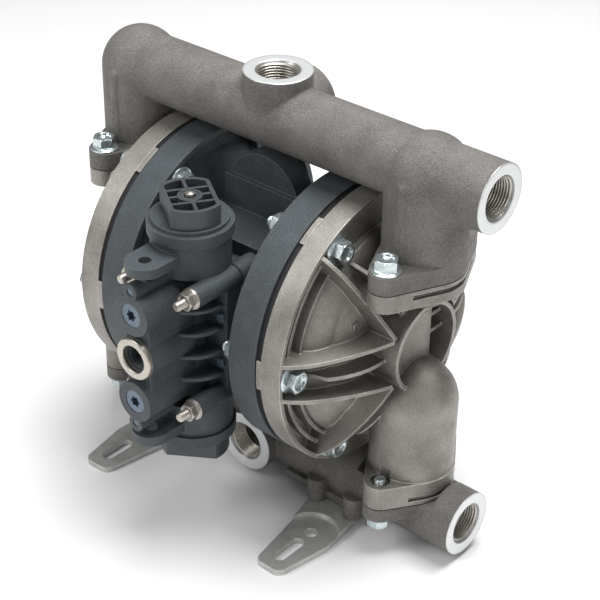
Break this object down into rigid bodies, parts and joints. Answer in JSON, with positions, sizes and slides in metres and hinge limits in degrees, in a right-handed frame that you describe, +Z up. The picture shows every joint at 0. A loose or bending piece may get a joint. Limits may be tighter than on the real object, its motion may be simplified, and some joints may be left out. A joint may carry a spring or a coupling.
{
  "type": "air operated diaphragm pump",
  "caption": "Metal air operated double diaphragm pump with ball checks, pipe manifolds, a finned air valve and slotted feet.",
  "frame": {"origin": "centre of the four round foot holes, on the plane the feet stand on", "axes": "+Z up, normal to the feet; +X along the diaphragm rod towards the right-hand cover; the air valve faces -Y"},
  "size_m": [0.3788, 0.2757, 0.354],
  "materials": {
    "sand_cast": "sand-cast",
    "die_cast": "die-cast",
    "slate_casting": "slate, satin",
    "zinc_steel": "zinc plated",
    "stainless": "bright",
    "galvanised": "dull zinc",
    "black_rubber": "matte",
    "ptfe": "satin",
    "black_plastic": "satin",
    "bronze": "turned"
  },
  "bodies": {
    "pump": {"motor_block": "slate_casting", "right_air_chamber": "slate_casting", "left_air_chamber": "slate_casting", "discharge_manifold": "sand_cast", "suction_manifold": "sand_cast", "right_cover": "die_cast", "left_cover": "die_cast", "right_diaphragm": "black_rubber", "left_diaphragm": "black_rubber", "right_rod_bush": "bronze", "left_rod_bush": "bronze", "right_rod_seal": "black_rubber", "left_rod_seal": "black_rubber", "pilot_sleeve": "bronze", "right_suction_seat": "ptfe", "left_suction_seat": "ptfe", "right_discharge_seat": "ptfe", "left_discharge_seat": "ptfe", "valve_body": "slate_casting", "valve_cap_top": "black_plastic", "valve_cap_bottom": "black_plastic", "button_guide": "black_plastic", "reset_spring": "stainless", "cap_seals": "black_rubber", "valve_sleeve": "stainless", "air_inlet_ring": "stainless", "valve_plugs": "slate_casting", "valve_set_screws": "zinc_steel", "valve_gasket": "black_rubber", "valve_studs": "stainless", "valve_nuts": "stainless", "valve_plate_screws": "zinc_steel", "left_cover_bolts": "zinc_steel", "right_cover_bolts": "zinc_steel", "left_cover_nuts": "zinc_steel", "right_cover_nuts": "zinc_steel", "discharge_bolts": "zinc_steel", "suction_bolts": "zinc_steel", "right_foot": "galvanised", "left_foot": "galvanised", "foot_screws": "zinc_steel"},
    "shuttle": {"centre_rod": "stainless", "right_outer_plate": "stainless", "left_outer_plate": "stainless", "right_inner_plate": "zinc_steel", "left_inner_plate": "zinc_steel"},
    "pilot": {"pilot_rod": "stainless"},
    "right_suction_check": {"right_suction_ball": "ptfe"},
    "left_suction_check": {"left_suction_ball": "ptfe"},
    "right_discharge_check": {"right_discharge_ball": "ptfe"},
    "left_discharge_check": {"left_discharge_ball": "ptfe"},
    "spool": {"main_spool": "stainless"},
    "button": {"reset_button": "stainless"}
  },
  "joints": [
    {"name": "diaphragm_stroke", "type": "slide", "parent": "pump", "child": "shuttle", "axis": [1, 0, 0], "range_m": [-0.012, 0.012], "deforming": ["right_diaphragm", "left_diaphragm"]},
    {"name": "pilot_slide", "type": "slide", "parent": "pump", "child": "pilot", "axis": [1, 0, 0], "range_m": [-0.0036, 0.0036]},
    {"name": "right_suction_lift", "type": "slide", "parent": "pump", "child": "right_suction_check", "axis": [0, 0, 1], "range_m": [0, 0.009]},
    {"name": "left_suction_lift", "type": "slide", "parent": "pump", "child": "left_suction_check", "axis": [0, 0, 1], "range_m": [0, 0.009]},
    {"name": "right_discharge_lift", "type": "slide", "parent": "pump", "child": "right_discharge_check", "axis": [0, 0, 1], "range_m": [0, 0.009]},
    {"name": "left_discharge_lift", "type": "slide", "parent": "pump", "child": "left_discharge_check", "axis": [0, 0, 1], "range_m": [0, 0.009]},
    {"name": "spool_slide", "type": "slide", "parent": "pump", "child": "spool", "axis": [0, 0, 1], "range_m": [0, 0.012]},
    {"name": "reset_press", "type": "slide", "parent": "pump", "child": "button", "axis": [0, 0, -1], "range_m": [0, 0.002], "stiffness_N_per_m": 800, "springref_m": -0.004, "deforming": ["reset_spring"]}
  ],
  "couplings": [
    {"joint": "pilot_slide", "follows": "diaphragm_stroke", "ratio": 0.3}
  ]
}
